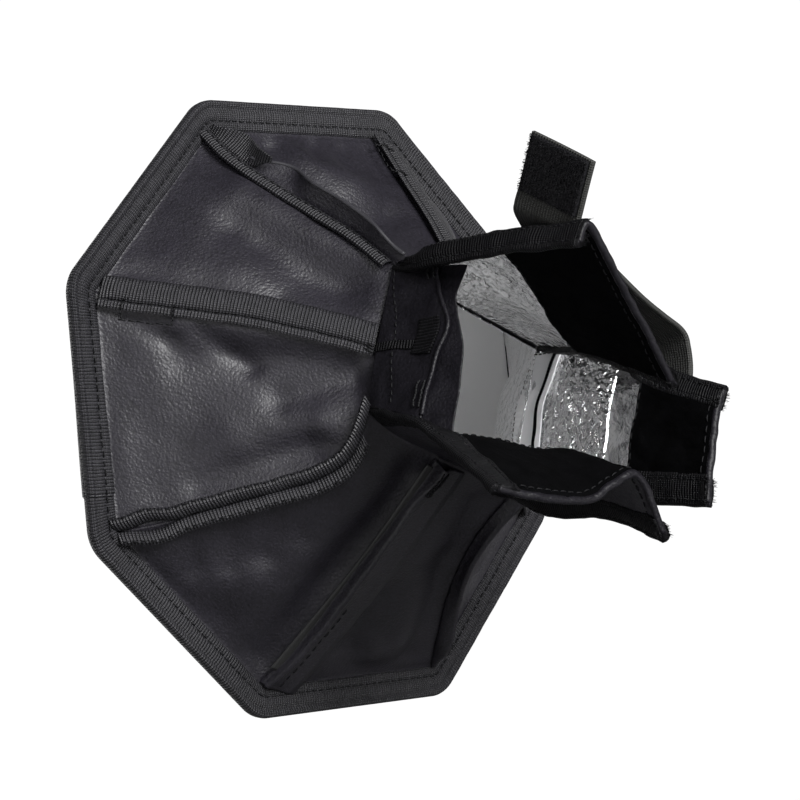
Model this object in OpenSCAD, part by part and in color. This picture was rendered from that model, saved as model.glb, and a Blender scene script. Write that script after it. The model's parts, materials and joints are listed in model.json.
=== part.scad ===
// Small collapsible octabox for a shoe-mount flash: a bound octagonal front with a cloth diffuser,
// a sewn eight-panel shell, and a soft neck of four flaps with an elastic strap.
// It is drawn looking at the neck: x right, y up, z from the front of the rim towards the neck.

/* [Front rim] */
// Distance across the flats of the octagonal rim
rim_flats = 200; // [180:5:220]
// Width of the ribbed binding that shows round the rim
binding_w = 10; // [8:1:13]
// Thickness of the bound rim, front to back
rim_t = 4; // [3.6:0.2:5]
// Thickness of the binding tape
tape_t = 0.7; // [0.5:0.1:0.9]
// Radius of the circle that rounds the rim's corners off
corner_r = 107; // [105:0.5:108]

/* [Shell] */
// Depth from the front of the rim to the neck seam
shell_depth = 66; // [56:1:76]
// Thickness of the black shell cloth
cloth_t = 0.5; // [0.4:0.1:0.6]
// Thickness of the silver lining
lining_t = 0.3; // [0.3:0.1:0.4]
// How far the middle of a panel sags inwards
panel_sag = 2.5; // [0:0.5:4]
// Height of the bound fins on the corner seams
fin_h = 7; // [4:0.5:9]
// Width of the flat tapes on the middle seams
rib_tape_w = 11; // [9:0.5:13]

/* [Neck] */
// Inside width of the neck, across the two short walls
neck_w = 67; // [64:1:74]
// Inside height of the neck, across the two long walls
neck_h = 50; // [46:1:56]
// Length of the three long flaps
flap_len = 80; // [72:1:84]
// Length of the short flap on its lower side
short_len_low = 33; // [26:1:36]
// Length of the short flap on its upper side
short_len_high = 19; // [14:1:24]
// Width of the loop pile inside the mouth of each long flap
loop_w = 30; // [24:1:34]
// Width of the binding on the sides of the flaps
edge_w = 7; // [5:0.5:8]

/* [Strap] */
// Width of the elastic strap
strap_w = 25; // [20:1:27]
// Thickness of the elastic strap
strap_t = 1.4; // [1:0.1:1.6]
// Length of the strap's loose end
strap_end_len = 24; // [20:1:36]

/* [Hidden] */

// The octagon and the two directions of the neck's rectangle, which faces four of the corners
half_step = 22.5;
rim_apothem = rim_flats / 2;
inner_apothem = rim_apothem - binding_w;
along_w = [cos(-half_step), sin(-half_step), 0];
along_h = [cos(90 - half_step), sin(90 - half_step), 0];
axis_z = [0, 0, 1];

// Layers inside the binding, from the front: diffuser, stiff frame, lining hem, shell hem
diffuser_t = 0.35;
frame_t = 0.9;
layer_gap = 0.15;
frame_z = tape_t + diffuser_t + layer_gap;
shell_hem_z = rim_t - tape_t - layer_gap;
lining_off = -cloth_t - layer_gap;
hem_apothem = rim_apothem - 2.5;

// Panel grid and the room left beside each seam
cols = 6;
rows = 6;
seam_room = 1;
neck_gap = 0.5;
fin_t = 1.2;
patch_cloth_t = 0.3;
rib_t = 1;
rib_w = 6;

// Flaps: outward direction, direction along the base, distance from the axis, half width at the base,
// ends of the free edge, outward tilt at each side and length at each side (low side first)
flap_t = 0.7;
flap_lining_t = 0.4;
pile_t = 1.2;
edge_in = 0.9;
edge_out = 1.1;
long_half = neck_w / 2 - 1.5;
short_half = neck_h / 2 - 1.6;
FLAPS = [
    [-along_w, along_h, neck_w / 2, short_half, -short_half, 18, -12, -12, short_len_low, short_len_high],
    [along_h, along_w, neck_h / 2, long_half, -29, 22, -1, -20, flap_len, flap_len],
    [along_w, along_h, neck_w / 2, short_half, -34, 0, 4, 1.5, flap_len, flap_len],
    [-along_h, along_w, neck_h / 2, long_half, -40, 22, 23.5, 17.5, flap_len, flap_len]
];
flap_rows = 5;
flap_cols = 4;
hem_w = 5;

// Strap route, as [across, up, depth] in the neck's own directions
strap_low = [37.3, -14, 117];
strap_top = [37.3, 13, 117];
strap_bend = [33, 22.6, 117];
strap_turn = [-31.5, 31.5, 127];
strap_end_start = 5;
strap_end_way = [-0.4, 0.75, 0.52];
strap_end_side = [0.25, -0.45, 0.85];
patch_len = 18;
patch_t = 1;

// ---- vectors ----

function unit(v) = v / norm(v);
function mix(a, b, t) = a + (b - a) * t;
function in_neck(p) = along_w * p[0] + along_h * p[1] + axis_z * p[2];

// ---- seams ----

function seam_angle(k) = 112.5 - 45 * (k - 1);
function rim_way(k) = [cos(seam_angle(k)), sin(seam_angle(k)), 0];
function rim_point(k, z) = rim_way(k) * inner_apothem / cos(half_step) + axis_z * z;
function side_w(k) = [-1, 0, 1, 1, 1, 0, -1, -1][(k - 1) % 8];
function side_h(k) = [1, 1, 1, 0, -1, -1, -1, 0][(k - 1) % 8];
function neck_point(k) = in_neck([side_w(k) * neck_w / 2, side_h(k) * neck_h / 2, shell_depth - neck_gap]);
function seam_point(k, v) = mix(rim_point(k, shell_hem_z), neck_point(k), v);

// ---- shell panels: rows of points from seam k to seam k + 1 ----

function panel_way(k, v) = unit(seam_point(k + 1, v) - seam_point(k, v));
function panel_rise(k) = seam_point(k, 1) - seam_point(k, 0) + seam_point(k + 1, 1) - seam_point(k + 1, 0);
function panel_out(k) = unit(cross(panel_rise(k), panel_way(k, 0.4)));
function panel_point(k, u, v, off) =
    let (way = panel_way(k, v), out = panel_out(k), lift = v == 0 ? unit(out + axis_z) : out)
    mix(seam_point(k, v) + way * seam_room, seam_point(k + 1, v) - way * seam_room, u)
    + lift * off - out * panel_sag * sin(180 * u) * sin(180 * v);
function panel_part(k, u0, u1, v0, v1, off) =
    [for (j = [0 : rows])
        [for (i = [0 : cols]) panel_point(k, mix(u0, u1, i / cols), mix(v0, v1, j / rows), off)]];
function hem_row(k, off) =
    let (grow = hem_apothem / inner_apothem, a = rim_point(k, 0) * grow, b = rim_point(k + 1, 0) * grow,
         way = unit(b - a))
    [for (i = [0 : cols])
        mix(a + way * seam_room, b - way * seam_room, i / cols) + axis_z * (shell_hem_z + off)];
function panel_grid(k, off) = concat([hem_row(k, off)], panel_part(k, 0, 1, 0, 1, off));

// ---- flaps: rows of points from the base to the free edge ----

function flap_point(f, u, s, off) =
    let (d = FLAPS[f - 1],
         tilt = mix(d[6], d[7], u),
         out = d[0] * cos(tilt) - axis_z * sin(tilt),
         base = d[0] * d[2] + d[1] * mix(-d[3], d[3], u) + axis_z * (shell_depth + neck_gap),
         slide = d[1] * mix(d[4] + d[3], d[5] - d[3], u))
    base + slide * s + (axis_z * cos(tilt) + d[0] * sin(tilt)) * mix(d[8], d[9], u) * s + out * off;
function flap_grid(f, u0, u1, s0, s1, off) =
    [for (j = [0 : flap_rows])
        [for (i = [0 : flap_cols]) flap_point(f, mix(u0, u1, i / flap_cols), mix(s0, s1, j / flap_rows), off)]];
function flap_side(f) = edge_w / (2 * FLAPS[f - 1][3]);

// ---- solids ----

// A closed solid between two grids of points of the same size
module skin(front, back) {
    n = len(front);
    m = len(front[0]);
    flat = concat([for (row = front) for (p = row) p], [for (row = back) for (p = row) p]);
    function at(side, j, i) = side * n * m + j * m + i;
    faces = concat(
        [for (j = [0 : n - 2]) for (i = [0 : m - 2]) each [
            [at(0, j, i), at(0, j + 1, i), at(0, j, i + 1)],
            [at(0, j + 1, i), at(0, j + 1, i + 1), at(0, j, i + 1)],
            [at(1, j, i), at(1, j, i + 1), at(1, j + 1, i)],
            [at(1, j + 1, i), at(1, j, i + 1), at(1, j + 1, i + 1)]
        ]],
        [for (j = [0 : n - 2]) each [
            [at(0, j, 0), at(1, j, 0), at(0, j + 1, 0)],
            [at(1, j, 0), at(1, j + 1, 0), at(0, j + 1, 0)],
            [at(0, j, m - 1), at(0, j + 1, m - 1), at(1, j, m - 1)],
            [at(1, j, m - 1), at(0, j + 1, m - 1), at(1, j + 1, m - 1)]
        ]],
        [for (i = [0 : m - 2]) each [
            [at(0, 0, i), at(0, 0, i + 1), at(1, 0, i)],
            [at(1, 0, i), at(0, 0, i + 1), at(1, 0, i + 1)],
            [at(0, n - 1, i), at(1, n - 1, i), at(0, n - 1, i + 1)],
            [at(1, n - 1, i), at(1, n - 1, i + 1), at(0, n - 1, i + 1)]
        ]]
    );
    polyhedron(points = flat, faces = faces);
}

// A flat strip from p to q: width w along side, thickness t along up, from lift above the line
module strip(p, q, side, up, w, t, lift = 0) {
    skin(
        [[p - side * w / 2 + up * (lift + t), p + side * w / 2 + up * (lift + t)],
         [q - side * w / 2 + up * (lift + t), q + side * w / 2 + up * (lift + t)]],
        [[p - side * w / 2 + up * lift, p + side * w / 2 + up * lift],
         [q - side * w / 2 + up * lift, q + side * w / 2 + up * lift]]
    );
}

// The frame in which the object is kept: +Y out of the neck, +Z up, origin on the axis at the neck seam
module in_row() {
    rotate([-90, 180, 0])
        translate([0, 0, -shell_depth])
            children();
}

module octagon(apothem) {
    rotate(half_step)
        circle(r = apothem / cos(half_step), $fn = 8);
}

module rounded_octagon(apothem, r) {
    intersection() {
        octagon(apothem);
        circle(r = r, $fn = 96);
    }
}

// Places a child along seam k: local z runs from the rim to the neck, local x points inwards
module along_seam(k) {
    way = neck_point(k) - rim_point(k, shell_hem_z);
    translate(rim_point(k, shell_hem_z))
        rotate([0, acos(way[2] / norm(way)), atan2(way[1], way[0])])
            children();
}
function seam_len(k) = norm(neck_point(k) - rim_point(k, shell_hem_z));

// ---- front ----

module diffuser() {
    color("whitesmoke")
        in_row()
            translate([0, 0, tape_t])
                linear_extrude(diffuser_t)
                    rounded_octagon(rim_apothem - 1, corner_r - 1.5);
}

module rim_frame() {
    color("dimgray")
        in_row()
            translate([0, 0, frame_z])
                linear_extrude(frame_t)
                    difference() {
                        rounded_octagon(rim_apothem - 1, corner_r - 1.5);
                        octagon(inner_apothem + 0.5);
                    }
}

// Ribbed tape folded round the rim: an outer web with a leg on the front and one on the back
module rim_binding() {
    color("#232325")
        in_row()
            difference() {
                linear_extrude(rim_t)
                    rounded_octagon(rim_apothem, corner_r);
                translate([0, 0, -1])
                    linear_extrude(rim_t + 2)
                        octagon(inner_apothem);
                translate([0, 0, tape_t])
                    linear_extrude(rim_t - 2 * tape_t)
                        rounded_octagon(rim_apothem - tape_t, corner_r - tape_t);
            }
}

// The free end of the binding, turned under and sewn over its start on the edge between seams 7 and 8
module rim_binding_end() {
    color("#28282a")
        in_row()
            rotate(180)
                translate([rim_apothem - binding_w, 16, rim_t])
                    cube([binding_w - 0.5, 12, tape_t]);
}

// ---- shell ----

module shell_panel(k) {
    color("#3c3a42")
        in_row()
            skin(panel_grid(k, 0), panel_grid(k, -cloth_t));
}

module lining_panel(k) {
    color("silver")
        in_row()
            skin(panel_grid(k, lining_off), panel_grid(k, lining_off - lining_t));
}

module shell_panel_1() { shell_panel(1); }
module shell_panel_2() { shell_panel(2); }
module shell_panel_3() { shell_panel(3); }
module shell_panel_4() { shell_panel(4); }
module shell_panel_5() { shell_panel(5); }
module shell_panel_6() { shell_panel(6); }
module shell_panel_7() { shell_panel(7); }
module shell_panel_8() { shell_panel(8); }
module lining_panel_1() { lining_panel(1); }
module lining_panel_2() { lining_panel(2); }
module lining_panel_3() { lining_panel(3); }
module lining_panel_4() { lining_panel(4); }
module lining_panel_5() { lining_panel(5); }
module lining_panel_6() { lining_panel(6); }
module lining_panel_7() { lining_panel(7); }
module lining_panel_8() { lining_panel(8); }

// Bound fin on a corner seam: it stands outwards, and its root lies between the two shell panels
module corner_fin(k) {
    root = 0.4;
    start = 3;
    stop = seam_len(k) - 6;
    color("#2c2b30")
        in_row()
            along_seam(k)
                translate([root, fin_t / 2, 0])
                    rotate([90, 0, 0])
                        linear_extrude(fin_t)
                            polygon([[0, start], [0, stop], [-root - fin_h / 2, stop],
                                     [-root - fin_h, stop - 14], [-root - fin_h, start + 10],
                                     [-root - 2, start]]);
}

module corner_fin_1() { corner_fin(1); }
module corner_fin_3() { corner_fin(3); }
module corner_fin_5() { corner_fin(5); }
module corner_fin_7() { corner_fin(7); }

// Flat ribbed tape over a middle seam, which makes the pocket of a rib
module rib_tape(k) {
    start = 4;
    stop = seam_len(k) - 3;
    color("#2c2b30")
        in_row()
            along_seam(k)
                translate([-rib_t - 1.4, -rib_tape_w / 2, start])
                    cube([tape_t, rib_tape_w, stop - start]);
}

module rib_tape_2() { rib_tape(2); }
module rib_tape_4() { rib_tape(4); }
module rib_tape_6() { rib_tape(6); }
module rib_tape_8() { rib_tape(8); }

// Springy rib inside the pocket
module rib(k) {
    start = 6;
    stop = seam_len(k) - 6;
    color("black")
        in_row()
            along_seam(k)
                translate([-rib_t - 0.5, -rib_w / 2, start])
                    cube([rib_t, rib_w, stop - start]);
}

module rib_2() { rib(2); }
module rib_4() { rib(4); }
module rib_6() { rib(6); }
module rib_8() { rib(8); }

// Rows of thread that close the rib pockets at both ends
module rib_stitches() {
    color("#18181a")
        in_row()
            for (k = [2 : 2 : 8])
                along_seam(k)
                    for (s = [12, seam_len(k) - 6])
                        translate([-rib_t - 1.4 - 0.4, -rib_tape_w / 2 + 1, s])
                            cube([0.4, rib_tape_w - 2, 1.6]);
}

// White cloth patch sewn to the lining between seams 3 and 4, just below the neck seam
module lining_patch() {
    off = lining_off - lining_t - layer_gap;
    color("white")
        in_row()
            skin(panel_part(3, 0.3, 0.8, 0.7, 0.97, off), panel_part(3, 0.3, 0.8, 0.7, 0.97, off - patch_cloth_t));
}

// ---- neck flaps ----

module flap(f, s1 = 1) {
    e = flap_side(f);
    color("#35343a")
        in_row()
            skin(flap_grid(f, e, 1 - e, 0, s1, flap_t), flap_grid(f, e, 1 - e, 0, s1, 0));
}

module flap_lining(f, s1) {
    e = flap_side(f);
    color("silver")
        in_row()
            skin(flap_grid(f, e, 1 - e, 0, s1, -layer_gap), flap_grid(f, e, 1 - e, 0, s1, -flap_lining_t));
}

module loop_band(f) {
    e = flap_side(f);
    s0 = 1 - loop_w / flap_len;
    color("#101012")
        in_row()
            skin(flap_grid(f, e, 1 - e, s0, 1, -layer_gap), flap_grid(f, e, 1 - e, s0, 1, -pile_t));
}

// Binding on one side of a flap, from u0 to u1 of its width
module flap_edge(f, u0, u1) {
    color("#29292b")
        in_row()
            skin(flap_grid(f, u0, u1, 0.02, 1, edge_out), flap_grid(f, u0, u1, 0.02, 1, -edge_in));
}

module flap_1() {
    color("#35343a")
        in_row()
            skin(flap_grid(1, 0, 1, 0, 1 - hem_w / short_len_low, flap_t),
                 flap_grid(1, 0, 1, 0, 1 - hem_w / short_len_low, 0));
}
module flap_2() { flap(2); }
module flap_3() { flap(3); }
module flap_4() { flap(4); }
module flap_lining_1() {
    color("silver")
        in_row()
            skin(flap_grid(1, 0, 1, 0, 1 - hem_w / short_len_low, -layer_gap),
                 flap_grid(1, 0, 1, 0, 1 - hem_w / short_len_low, -flap_lining_t));
}
module flap_lining_2() { flap_lining(2, 1 - loop_w / flap_len); }
module flap_lining_3() { flap_lining(3, 1 - loop_w / flap_len); }
module flap_lining_4() { flap_lining(4, 1 - loop_w / flap_len); }
module loop_band_2() { loop_band(2); }
module loop_band_3() { loop_band(3); }
module loop_band_4() { loop_band(4); }

module flap_1_hem() {
    s0 = 1 - hem_w / short_len_low;
    color("#29292b")
        in_row()
            skin(flap_grid(1, 0, 1, s0, 1, edge_out), flap_grid(1, 0, 1, s0, 1, -edge_in));
}
module flap_2_edge_left() { flap_edge(2, 0, flap_side(2)); }
module flap_2_edge_right() { flap_edge(2, 1 - flap_side(2), 1); }
module flap_3_edge_low() { flap_edge(3, 0, flap_side(3)); }
module flap_3_edge_high() { flap_edge(3, 1 - flap_side(3), 1); }
module flap_4_edge_left() { flap_edge(4, 0, flap_side(4)); }
module flap_4_edge_right() { flap_edge(4, 1 - flap_side(4), 1); }

// ---- strap ----

// Sewn end, on the outside of flap 3
module strap_root() {
    color("#2e2e2b")
        in_row()
            strip(in_neck(strap_low), in_neck(strap_top), axis_z, along_w, strap_w, strap_t);
}

module strap_stitches() {
    color("#18181a")
        in_row()
            for (b = [-12, 0])
                strip(in_neck(strap_low + [0, 14 + b, 0]), in_neck(strap_low + [0, 15 + b, 0]),
                      axis_z, along_w, strap_w - 6, 0.4, strap_t);
}

// Middle of the strap, which lies over flap 2
module strap_band() {
    p = in_neck(strap_bend);
    q = in_neck(strap_turn);
    way = unit(q - p);
    side = unit(axis_z - way * (way * axis_z));
    color("#2e2e2b")
        in_row()
            strip(p + way, q - way * 3, side, cross(way, side), strap_w, strap_t);
}

function end_way() = unit(in_neck(strap_end_way));
function end_side() = unit(in_neck(strap_end_side) - end_way() * (end_way() * in_neck(strap_end_side)));

// Loose end, which stands up beside flap 1
module strap_end() {
    p = in_neck(strap_turn);
    color("#2e2e2b")
        in_row()
            strip(p + end_way() * strap_end_start, p + end_way() * strap_end_len, end_side(),
                  cross(end_way(), end_side()), strap_w, strap_t);
}

// Hook pad on the loose end
module hook_patch() {
    p = in_neck(strap_turn) + end_way() * strap_end_len;
    color("#1b1b1b")
        in_row()
            strip(p - end_way() * patch_len, p - end_way() * 0.5, end_side(),
                  cross(end_way(), end_side()), strap_w - 2, patch_t, -patch_t);
}

diffuser();
rim_frame();
rim_binding();
rim_binding_end();
shell_panel_1();
shell_panel_2();
shell_panel_3();
shell_panel_4();
shell_panel_5();
shell_panel_6();
shell_panel_7();
shell_panel_8();
lining_panel_1();
lining_panel_2();
lining_panel_3();
lining_panel_4();
lining_panel_5();
lining_panel_6();
lining_panel_7();
lining_panel_8();
corner_fin_1();
corner_fin_3();
corner_fin_5();
corner_fin_7();
rib_tape_2();
rib_tape_4();
rib_tape_6();
rib_tape_8();
rib_2();
rib_4();
rib_6();
rib_8();
flap_1();
flap_2();
flap_3();
flap_4();
flap_lining_1();
flap_lining_2();
flap_lining_3();
flap_lining_4();
loop_band_2();
loop_band_3();
loop_band_4();
flap_1_hem();
flap_2_edge_left();
flap_2_edge_right();
flap_3_edge_low();
flap_3_edge_high();
flap_4_edge_left();
flap_4_edge_right();
strap_root();
strap_band();
strap_end();
hook_patch();
strap_stitches();
lining_patch();
rib_stitches();
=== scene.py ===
import json
import math
import random

import bpy
import numpy as np
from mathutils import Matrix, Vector, noise

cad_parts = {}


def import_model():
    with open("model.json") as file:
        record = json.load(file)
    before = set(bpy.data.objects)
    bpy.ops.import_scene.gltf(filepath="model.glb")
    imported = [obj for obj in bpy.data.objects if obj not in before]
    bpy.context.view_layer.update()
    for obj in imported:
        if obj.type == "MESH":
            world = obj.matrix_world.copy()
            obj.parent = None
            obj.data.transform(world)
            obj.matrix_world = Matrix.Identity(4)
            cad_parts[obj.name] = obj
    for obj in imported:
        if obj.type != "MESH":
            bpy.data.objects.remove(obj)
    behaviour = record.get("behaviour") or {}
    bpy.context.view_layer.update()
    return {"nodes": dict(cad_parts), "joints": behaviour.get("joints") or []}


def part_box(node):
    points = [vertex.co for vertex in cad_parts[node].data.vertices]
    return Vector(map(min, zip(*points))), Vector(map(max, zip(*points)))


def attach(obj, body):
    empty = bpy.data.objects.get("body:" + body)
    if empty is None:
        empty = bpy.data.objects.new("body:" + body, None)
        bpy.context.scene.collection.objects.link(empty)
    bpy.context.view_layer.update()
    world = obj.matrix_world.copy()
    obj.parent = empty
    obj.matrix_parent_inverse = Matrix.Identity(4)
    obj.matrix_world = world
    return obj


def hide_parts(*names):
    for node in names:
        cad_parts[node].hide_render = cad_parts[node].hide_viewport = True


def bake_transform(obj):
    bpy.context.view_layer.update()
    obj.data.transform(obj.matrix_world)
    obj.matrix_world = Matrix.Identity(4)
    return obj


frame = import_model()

# Lengths are in millimetres in the row frame until a mesh is made
MM = 0.001
SEED = 7
random.seed(SEED)

# ---- places that come from the frame ----

HINGE = {j["name"]: np.array(j["pos_m"]) / MM for j in frame["joints"]}
ACROSS_SPAN = HINGE["flap_3_fold"] - HINGE["flap_1_fold"]
UP_SPAN = HINGE["flap_2_fold"] - HINGE["flap_4_fold"]
NECK_W = float(np.linalg.norm(ACROSS_SPAN))
NECK_H = float(np.linalg.norm(UP_SPAN))
ACROSS = ACROSS_SPAN / NECK_W
UP = UP_SPAN / NECK_H
OUT = np.array((0.0, 1.0, 0.0))
RIM_LOW, RIM_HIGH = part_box("rim_binding")
APOTHEM = RIM_HIGH.x / MM
RIM_Y = RIM_LOW.y / MM
RIM_T = (RIM_HIGH.y - RIM_LOW.y) / MM
BINDING_W = 10.0
INNER = APOTHEM - BINDING_W
HALF_STEP = math.radians(22.5)


def neck(a, b, d):
    """A point in the neck's own directions: across, up, and out from the neck seam."""
    return ACROSS * a + UP * b + OUT * d


def rim(r, degrees, z=0.0):
    """A point at radius r and angle degrees, seen from behind the neck, z above the front of the rim."""
    angle = math.radians(degrees)
    return np.array((-r * math.cos(angle), RIM_Y + z, r * math.sin(angle)))


def unit(v):
    v = np.asarray(v, float)
    return v / np.maximum(np.linalg.norm(v, axis=-1, keepdims=True), 1e-9)


def wave_noise(p, size, seed=0.0):
    """Smooth noise from -1 to 1 at a point in mm, with features about size mm across."""
    return noise.noise(Vector((p[0] / size + seed * 17.3, p[1] / size - seed * 5.1, p[2] / size + seed * 3.7)))


def noise_field(points, size, seed=0.0):
    flat = points.reshape(-1, 3)
    return np.array([wave_noise(p, size, seed) for p in flat]).reshape(points.shape[:-1])


def spline(points, n):
    """n points evenly spaced in parameter on a smooth curve through the given points."""
    p = np.asarray(points, float)
    k = len(p)
    if k == 2:
        t = np.linspace(0, 1, n)[:, None]
        return p[0] * (1 - t) + p[1] * t
    e = np.vstack([2 * p[0] - p[1], p, 2 * p[-1] - p[-2]])
    t = np.linspace(0, k - 1 - 1e-9, n)
    i = t.astype(int)
    f = (t - i)[:, None]
    a, b, c, d = e[i], e[i + 1], e[i + 2], e[i + 3]
    return 0.5 * (2 * b + (c - a) * f + (2 * a - 5 * b + 4 * c - d) * f ** 2 + (3 * b - a - 3 * c + d) * f ** 3)


def run_length(points):
    """The length so far at each of a row of points."""
    return np.concatenate([[0], np.cumsum(np.linalg.norm(np.diff(points, axis=0), axis=1))])


def even(points, n):
    """n points evenly spaced in length on a smooth curve through the given points."""
    fine = spline(points, 400)
    s = run_length(fine)
    t = np.linspace(0, s[-1], n)
    return np.stack([np.interp(t, s, fine[:, i]) for i in range(fine.shape[1])], axis=1)


def net(rows, n, m):
    """A smooth n by m grid through rows of points."""
    grid = np.stack([spline(r, m) for r in rows])
    return np.stack([spline(grid[:, j], n) for j in range(m)], axis=1)


def curve(pairs, x):
    """A smooth curve through pairs of x and y, as cubic pieces."""
    xs, ys = (np.array(c, float) for c in zip(*pairs))
    slope = np.gradient(ys, xs)
    i = np.clip(np.searchsorted(xs, x, side="right") - 1, 0, len(xs) - 2)
    h = xs[i + 1] - xs[i]
    t = np.clip((x - xs[i]) / h, 0, 1)
    a = ys[i] * (1 + 2 * t) * (1 - t) ** 2 + slope[i] * h * t * (1 - t) ** 2
    return a + ys[i + 1] * t * t * (3 - 2 * t) + slope[i + 1] * h * t * t * (t - 1)


def smooth(x):
    x = np.clip(x, 0, 1)
    return x * x * (3 - 2 * x)


def normals(grid):
    du = np.gradient(grid, axis=1)
    dv = np.gradient(grid, axis=0)
    return unit(np.cross(du, dv))


# ---- materials ----

def material(name):
    m = bpy.data.materials.new(name)
    m.use_nodes = True
    return m, m.node_tree, m.node_tree.nodes["Principled BSDF"]


def add_node(tree, kind, inputs, **settings):
    """A new node. Each of its inputs is given as a value or as the output that feeds it."""
    n = tree.nodes.new(kind)
    for key, value in settings.items():
        setattr(n, key, value)
    for key, value in inputs.items():
        if isinstance(value, bpy.types.NodeSocket):
            tree.links.new(value, n.inputs[key])
        else:
            n.inputs[key].default_value = value
    return n


def math_node(tree, kind, a, b=None):
    return add_node(tree, "ShaderNodeMath", {0: a} if b is None else {0: a, 1: b}, operation=kind).outputs[0]


def weighted(tree, *terms):
    """Sum of values times their factors."""
    total = None
    for value, factor in terms:
        term = math_node(tree, "MULTIPLY", value, factor)
        total = term if total is None else math_node(tree, "ADD", total, term)
    return total


def coordinates(tree, kind):
    """Coordinates in millimetres: kind is UV or Object."""
    place = tree.nodes.new("ShaderNodeTexCoord").outputs[kind]
    return add_node(tree, "ShaderNodeVectorMath", {0: place, "Scale": 1 / MM}, operation="SCALE").outputs[0]


def noise_tex(tree, vector, size, detail=3.0, rough=0.55, distortion=0.0):
    inputs = {"Vector": vector, "Scale": 1 / size, "Detail": detail, "Roughness": rough, "Distortion": distortion}
    return add_node(tree, "ShaderNodeTexNoise", inputs).outputs[0]


def voronoi(tree, vector, size):
    inputs = {"Vector": vector, "Scale": 1 / size}
    return add_node(tree, "ShaderNodeTexVoronoi", inputs, feature="SMOOTH_F1").outputs["Distance"]


def emboss(tree, shader, *layers):
    """Bumps laid over each other, each as height, depth in mm and strength."""
    last = None
    for height, depth, strength in layers:
        inputs = {"Height": height, "Distance": depth * MM, "Strength": strength}
        if last is not None:
            inputs["Normal"] = last
        last = add_node(tree, "ShaderNodeBump", inputs).outputs[0]
    tree.links.new(last, shader.inputs["Normal"])


def ramp(tree, value, low, high, a=0.0, b=1.0):
    """A value that runs from low to high as the given one runs from a to b."""
    inputs = {"Value": value, "From Min": a, "From Max": b, "To Min": low, "To Max": high}
    return add_node(tree, "ShaderNodeMapRange", inputs).outputs[0]


def shade(tree, shader, color, value, low, high):
    """Base colour times a factor that runs from low to high with value."""
    inputs = {0: color, "Scale": ramp(tree, value, low, high)}
    mix = add_node(tree, "ShaderNodeVectorMath", inputs, operation="SCALE")
    tree.links.new(mix.outputs[0], shader.inputs["Base Color"])


def rib_wave(tree, coordinate, period, wobble=None):
    x = math_node(tree, "MULTIPLY", coordinate, 2 * math.pi / period)
    if wobble is not None:
        x = math_node(tree, "ADD", x, wobble)
    return math_node(tree, "SINE", x)


def set_finish(shader, rough, specular=0.5, metallic=0.0):
    shader.inputs["Roughness"].default_value = rough
    shader.inputs["Metallic"].default_value = metallic
    shader.inputs["Specular IOR Level"].default_value = specular


def toned(color, tone):
    return tuple(c * tone for c in color)


def nylon_material(name="black_nylon", tone=1.0):
    m, tree, shader = material(name)
    set_finish(shader, 0.46, 0.5 * tone)
    p = coordinates(tree, "Object")
    pebble = weighted(tree, (noise_tex(tree, p, 1.1, 2.0), 0.7), (voronoi(tree, p, 0.8), -0.8))
    blotch = noise_tex(tree, p, 11.0, 2.0)
    emboss(tree, shader, (pebble, 0.25, 0.7), (noise_tex(tree, p, 0.6, 1.0, 0.5), 0.1, 0.6))
    both = weighted(tree, (blotch, 0.5), (pebble, 1.0))
    shade(tree, shader, toned((0.0135, 0.0122, 0.017), tone), ramp(tree, both, 0.0, 1.0, -0.3, 0.75), 0.4, 1.6)
    tree.links.new(ramp(tree, blotch, 0.4, 0.52), shader.inputs["Roughness"])
    return m


def ribbed_material(name="ribbed_binding", tone=1.0):
    m, tree, shader = material(name)
    set_finish(shader, 0.5, 0.45 * tone)
    uv = coordinates(tree, "UV")
    x, y, _ = add_node(tree, "ShaderNodeSeparateXYZ", {0: uv}).outputs
    ribs = rib_wave(tree, x, 1.05, weighted(tree, (noise_tex(tree, uv, 5.0, 2.0), 3.0)))
    cross = rib_wave(tree, y, 0.62)
    emboss(tree, shader, (ribs, 0.2, 0.9), (cross, 0.06, 0.7))
    both = weighted(tree, (ribs, 0.5), (cross, 0.22), (noise_tex(tree, uv, 3.0, 3.0, 0.65), 1.5))
    shade(tree, shader, toned((0.0155, 0.015, 0.0178), tone), ramp(tree, both, 0.0, 1.0, 0.1, 1.5), 0.3, 2.0)
    return m


def pile_material():
    m, tree, shader = material("loop_pile")
    set_finish(shader, 0.95, 0.03)
    p = coordinates(tree, "Object")
    emboss(tree, shader, (noise_tex(tree, p, 0.5, 3.0, 0.7), 0.25, 0.9))
    shade(tree, shader, (0.0012, 0.0012, 0.0014), noise_tex(tree, p, 8.0, 3.0, 0.6), 0.2, 2.4)
    return m


def elastic_material():
    m, tree, shader = material("elastic")
    set_finish(shader, 0.6, 0.25)
    x, y, _ = add_node(tree, "ShaderNodeSeparateXYZ", {0: coordinates(tree, "UV")}).outputs
    ribs = rib_wave(tree, y, 1.05)
    rungs = rib_wave(tree, x, 0.75)
    emboss(tree, shader, (ribs, 0.14, 0.9), (rungs, 0.06, 0.8))
    both = weighted(tree, (ribs, 0.6), (rungs, 0.4))
    shade(tree, shader, (0.036, 0.036, 0.034), ramp(tree, both, 0.0, 1.0, -1.0, 1.0), 0.6, 1.35)
    return m


def hook_material():
    m, tree, shader = material("hook_tape")
    set_finish(shader, 0.6, 0.3)
    clump = noise_tex(tree, coordinates(tree, "Object"), 1.3, 2.0, 0.6)
    emboss(tree, shader, (clump, 0.6, 0.9))
    shade(tree, shader, (0.003, 0.0027, 0.0042), clump, 0.2, 2.0)
    return m


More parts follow.
